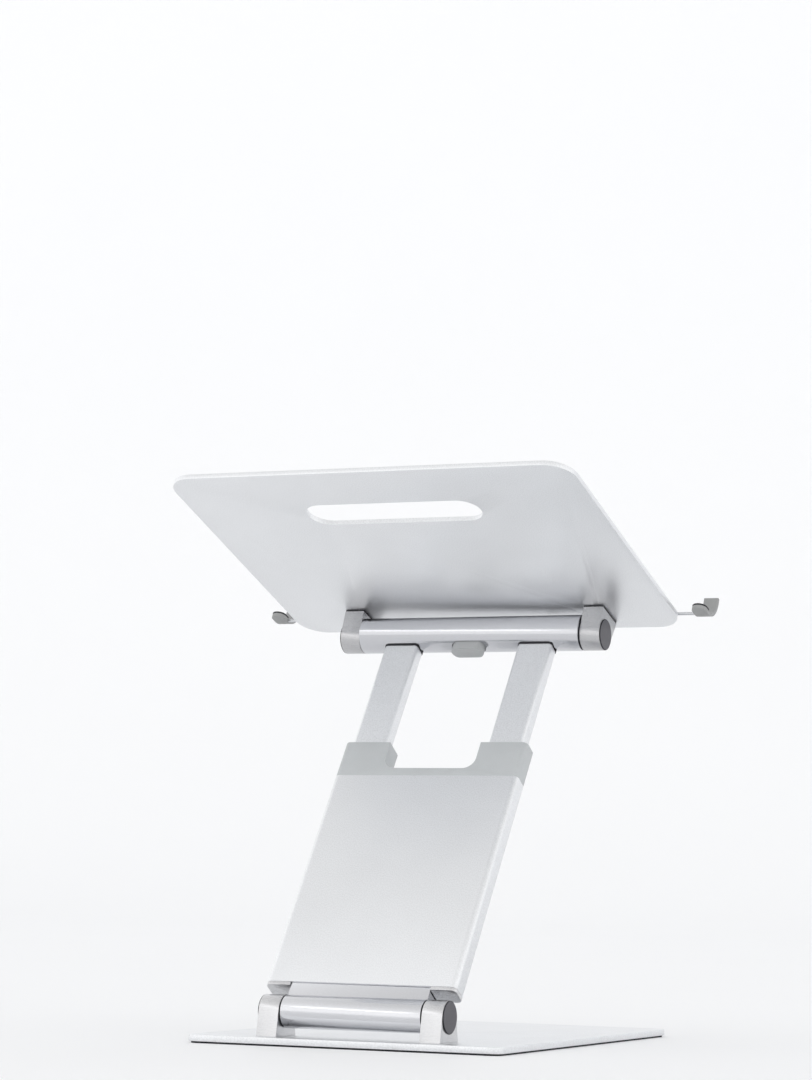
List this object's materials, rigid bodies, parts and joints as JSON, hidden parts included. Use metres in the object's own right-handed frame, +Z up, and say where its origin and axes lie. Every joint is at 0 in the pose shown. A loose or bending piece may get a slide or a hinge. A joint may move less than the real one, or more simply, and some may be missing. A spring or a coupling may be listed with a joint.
{
  "type": "laptop stand",
  "caption": "Folding laptop stand: flat base plate, friction-hinged telescopic arm with a release button, and a tilting slotted top plate with front stop hooks.",
  "frame": {"origin": "the middle of the base's footprint, on the surface that the stand rests on", "axes": "+X runs across the stand along its hinges, +Y from the arm's foot towards the user and the front stops, +Z up"},
  "size_m": [0.3102, 0.275, 0.3483],
  "materials": {
    "silver": "satin anodised",
    "satin": "satin",
    "steel": "satin",
    "light_grey": "matte",
    "mid_grey": "matte",
    "dark_grey": "matte",
    "black_rubber": "matte",
    "grey_rubber": "matte"
  },
  "bodies": {
    "base": {"base_plate": "silver", "base_foot": "black_rubber", "lower_left_bracket": "satin", "lower_right_bracket": "satin", "lower_bracket_screws": "steel", "lower_left_hinge_shaft": "steel", "lower_right_hinge_shaft": "steel", "lower_hinge_washers": "black_rubber", "lower_spring_washers": "steel", "lower_hinge_nuts": "steel", "lower_left_cap": "dark_grey", "lower_right_cap": "dark_grey"},
    "arm": {"hinge_tongue": "satin", "lower_hinge_sleeves": "steel", "casing": "silver", "casing_end_cap": "satin", "collar": "light_grey", "tongue_screws": "steel", "collar_screws": "steel"},
    "telescope": {"left_tube": "silver", "right_tube": "silver", "upper_barrel": "satin", "upper_hinge_sleeves": "steel", "tube_plugs": "dark_grey", "tube_screws": "steel", "tube_seals": "black_rubber", "left_tube_shoe": "dark_grey", "right_tube_shoe": "dark_grey"},
    "release": {"release_button": "mid_grey", "release_bar": "steel", "button_spring": "steel", "pull_rods": "steel"},
    "left_brake": {"left_brake_shoe": "dark_grey"},
    "right_brake": {"right_brake_shoe": "dark_grey"},
    "plate": {"top_plate": "silver", "upper_left_bracket": "satin", "upper_right_bracket": "satin", "upper_bracket_gaskets": "black_rubber", "upper_bracket_screws": "steel", "upper_left_hinge_shaft": "steel", "upper_right_hinge_shaft": "steel", "upper_hinge_washers": "black_rubber", "upper_spring_washers": "steel", "upper_hinge_nuts": "steel", "upper_left_cap": "dark_grey", "upper_right_cap": "dark_grey", "stop_rod": "steel", "stop_rod_clips": "dark_grey", "clip_screws": "steel", "left_stop_hook": "grey_rubber", "right_stop_hook": "grey_rubber", "left_stop_grip": "black_rubber", "right_stop_grip": "black_rubber", "plate_grips": "grey_rubber"}
  },
  "joints": [
    {"name": "fold", "type": "hinge", "parent": "base", "child": "arm", "pos_m": [0, -0.1139, 0.0199], "axis": [1, 0, 0], "range_deg": [-52.3, 34.7]},
    {"name": "height", "type": "slide", "parent": "arm", "child": "telescope", "axis": [0, 0.5693, 0.8221], "range_m": [-0.0795, 0.03]},
    {"name": "tilt", "type": "hinge", "parent": "telescope", "child": "plate", "pos_m": [0, 0.05062, 0.2575], "axis": [-1, 0, 0], "range_deg": [-74.4, 12.6]},
    {"name": "press", "type": "slide", "parent": "telescope", "child": "release", "axis": [0, 0.5693, 0.8221], "range_m": [0, 0.0025], "stiffness_N_per_m": 800, "springref_m": -0.002},
    {"name": "left_release", "type": "slide", "parent": "telescope", "child": "left_brake", "axis": [1, 0, 0], "range_m": [0, 0.001]},
    {"name": "right_release", "type": "slide", "parent": "telescope", "child": "right_brake", "axis": [-1, 0, 0], "range_m": [0, 0.001]}
  ],
  "couplings": [
    {"joint": "left_release", "follows": "press", "ratio": 0.4},
    {"joint": "right_release", "follows": "press", "ratio": 0.4}
  ]
}
